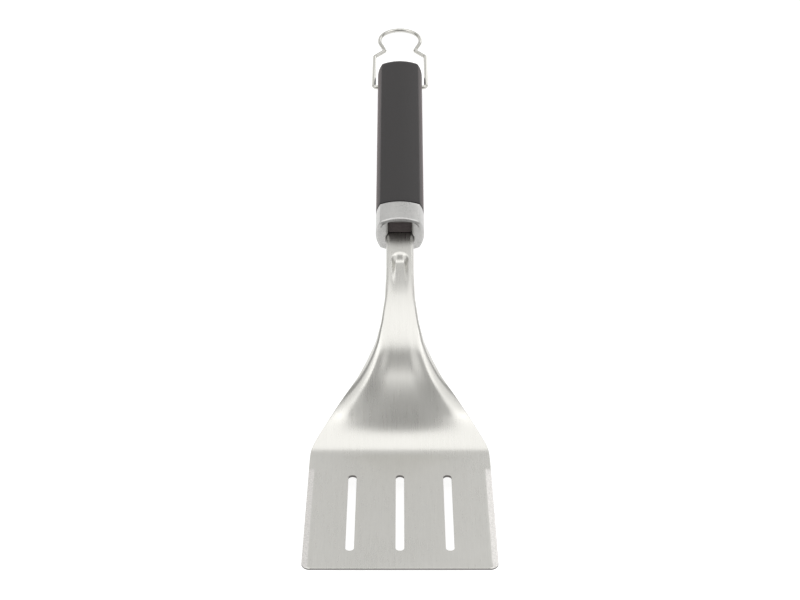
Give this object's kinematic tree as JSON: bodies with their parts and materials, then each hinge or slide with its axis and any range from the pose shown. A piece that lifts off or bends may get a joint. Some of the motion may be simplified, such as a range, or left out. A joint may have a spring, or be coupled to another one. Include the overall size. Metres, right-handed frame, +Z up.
{
  "type": "grill spatula",
  "caption": "Grill spatula: a slotted stamped-steel blade on a narrow waisted neck, a chromed ferrule, a soft-touch handle and a swinging wire hanging loop.",
  "frame": {"origin": "on the table under the middle of the tool's footprint, as it lies at rest on the heel of the blade and the rear end of the handle", "axes": "+Y from the blade's front edge towards the hanging loop, +X across the blade, +Z up; the flat blade is tipped up about 23 degrees at its front edge"},
  "size_m": [0.1064, 0.488, 0.0408],
  "materials": {
    "brushed_stainless": "stamped stainless sheet, finely brushed along its length",
    "satin_chrome": "satin bright plated metal with rounded edges",
    "polished_wire": "polished stainless wire",
    "soft_grip": "matte soft-touch, charcoal black",
    "core_plastic": "moulded, hidden",
    "plug_plastic": "dark brown-black moulded insert with fine ribs",
    "bush_plastic": "smooth moulded liner",
    "pin_steel": "plain cut steel pin, hidden"
  },
  "bodies": {
    "tool": {"blade_head": "brushed_stainless", "ferrule": "satin_chrome", "neck_plug": "plug_plastic", "handle_core": "core_plastic", "soft_grip": "soft_grip", "tang_pin_front": "pin_steel", "tang_pin_rear": "pin_steel", "loop_bush_left": "bush_plastic", "loop_bush_right": "bush_plastic"},
    "loop": {"hanging_loop": "polished_wire"}
  },
  "joints": [
    {"name": "loop_swing", "type": "hinge", "parent": "tool", "child": "loop", "pos_m": [0, 0.16756, 0.01344], "axis": [1, 0, 0], "range_deg": [-159, 167]}
  ]
}
